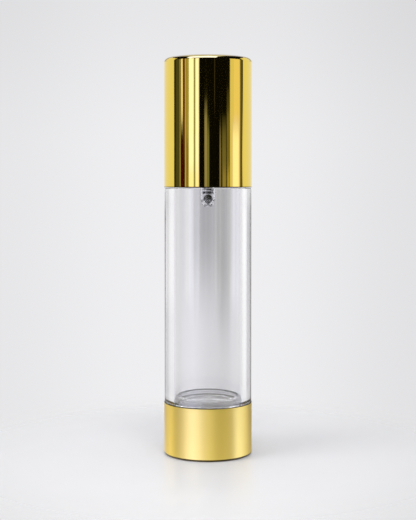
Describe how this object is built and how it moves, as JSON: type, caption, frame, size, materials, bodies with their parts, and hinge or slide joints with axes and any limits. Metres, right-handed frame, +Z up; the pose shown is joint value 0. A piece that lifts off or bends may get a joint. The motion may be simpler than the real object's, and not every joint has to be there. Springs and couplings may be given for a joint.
{
  "type": "airless pump bottle",
  "caption": "Round airless pump bottle: gold overcap, clear thick-walled chamber with a rising follower piston, gold base, spring-return dosing pump under the cap.",
  "frame": {"origin": "middle of the foot, on the surface the bottle stands on", "axes": "+Z up along the bottle's axis, spout and front face -Y"},
  "size_m": [0.0293, 0.0292, 0.1319],
  "materials": {
    "mirror_gold": "polished, gold anodised",
    "satin_gold": "satin, gold anodised",
    "clear_body": "clear moulded styrene plastic, gloss",
    "natural_plastic": "natural translucent polyolefin",
    "white_plastic": "white moulded polypropylene, fine satin",
    "steel": "stainless, smooth",
    "gasket": "soft white elastomer"
  },
  "bodies": {
    "container": {"bottle_body": "clear_body", "base_shell": "satin_gold", "base_plug": "white_plastic"},
    "follower": {"follower_piston": "natural_plastic"},
    "pump": {"pump_housing": "natural_plastic", "ball_cage": "steel", "return_spring": "steel", "stem_guide": "white_plastic", "neck_gasket": "gasket"},
    "closure": {"collar_nut": "white_plastic", "collar_shell": "mirror_gold"},
    "overcap": {"overcap_shell": "mirror_gold", "overcap_liner": "white_plastic"},
    "plunger": {"pump_stem": "white_plastic", "piston_rod": "white_plastic"},
    "seal": {"pump_piston": "natural_plastic"},
    "button": {"button_core": "white_plastic", "button_shell": "mirror_gold", "spout_tip": "white_plastic"},
    "ball": {"inlet_ball": "steel"}
  },
  "joints": [
    {"name": "follower_rise", "type": "slide", "parent": "container", "child": "follower", "axis": [0, 0, 1], "range_m": [0, 0.0708]},
    {"name": "pump_lift", "type": "slide", "parent": "container", "child": "pump", "axis": [0, 0, 1], "range_m": [0, 0.00477]},
    {"name": "collar_turn", "type": "hinge", "parent": "pump", "child": "closure", "pos_m": [0, 0, 0.1], "axis": [0, 0, 1], "range_deg": [0, 540]},
    {"name": "overcap_lift", "type": "slide", "parent": "closure", "child": "overcap", "axis": [0, 0, 1], "range_m": [0, 0.045]},
    {"name": "pump_press", "type": "slide", "parent": "pump", "child": "plunger", "axis": [0, 0, -1], "range_m": [0, 0.0052], "stiffness_N_per_m": 1500, "springref_m": -0.001, "deforming": ["return_spring"]},
    {"name": "piston_float", "type": "slide", "parent": "plunger", "child": "seal", "axis": [0, 0, 1], "range_m": [0, 0.0008]},
    {"name": "button_turn", "type": "hinge", "parent": "plunger", "child": "button", "pos_m": [0, 0, 0.1145], "axis": [0, 0, 1], "continuous": true},
    {"name": "inlet_ball_lift", "type": "slide", "parent": "pump", "child": "ball", "axis": [0, 0, 1], "range_m": [0, 0.0006]}
  ],
  "couplings": [
    {"joint": "pump_lift", "follows": "collar_turn", "m_per_rad": 0.00050532}
  ]
}
